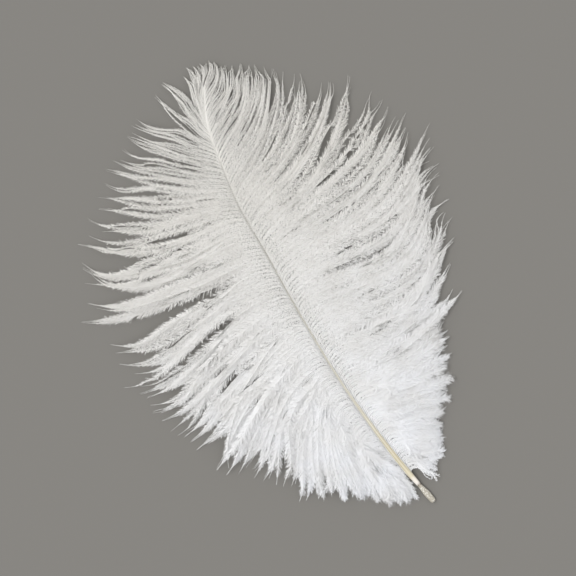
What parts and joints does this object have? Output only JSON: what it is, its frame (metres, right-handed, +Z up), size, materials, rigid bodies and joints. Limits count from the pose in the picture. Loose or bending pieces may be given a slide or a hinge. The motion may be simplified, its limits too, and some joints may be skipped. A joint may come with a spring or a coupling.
{
  "type": "ostrich feather",
  "caption": "White ostrich plume lying flat: a bowed, grooved shaft with a cut quill end, and a wide soft vane on each side that parts into curved locks at its edge.",
  "frame": {"origin": "middle of the bounding box in plan, on the surface the plume lies on", "axes": "+Y from the cut end of the quill towards the tip, +Z up from the surface it lies on, +X to the right seen from above with the tip away from the viewer"},
  "size_m": [0.1476, 0.1818, 0.006],
  "materials": {
    "quill_keratin": "smooth horn, satin",
    "barb_keratin": "soft, fibrous"
  },
  "bodies": {
    "root": {"shaft": "quill_keratin", "left_vane": "barb_keratin", "right_vane": "barb_keratin"}
  },
  "joints": []
}
